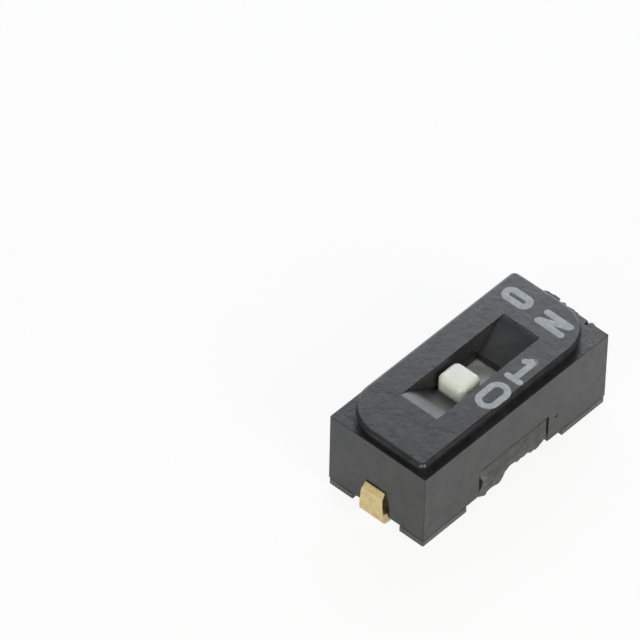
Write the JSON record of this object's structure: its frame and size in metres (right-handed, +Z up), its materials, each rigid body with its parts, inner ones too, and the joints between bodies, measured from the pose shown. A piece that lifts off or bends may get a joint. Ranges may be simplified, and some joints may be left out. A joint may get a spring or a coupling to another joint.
{
  "type": "dip switch",
  "caption": "Surface-mount slide switch in a black two-piece housing: white knob in a sloping recess, sliding leaf contact, gold-plated hooked terminals at both ends.",
  "frame": {"origin": "middle of the footprint, in the plane of the solder faces", "axes": "+Z up out of the raised top, +Y along the slider's travel towards the ON end"},
  "size_m": [0.0024, 0.0056, 0.0022],
  "materials": {
    "cover_plastic": "satin",
    "base_plastic": "matte",
    "slider_plastic": "satin",
    "contact_gold": "bright",
    "terminal_gold": "satin"
  },
  "bodies": {
    "housing": {"cover": "cover_plastic", "base": "base_plastic", "off_end_terminal": "terminal_gold", "on_end_terminal": "terminal_gold"},
    "slider": {"slider": "slider_plastic", "moving_contact": "contact_gold"}
  },
  "joints": [
    {"name": "slider_travel", "type": "slide", "parent": "housing", "child": "slider", "axis": [0, 1, 0], "range_m": [0, 0.0006]}
  ]
}
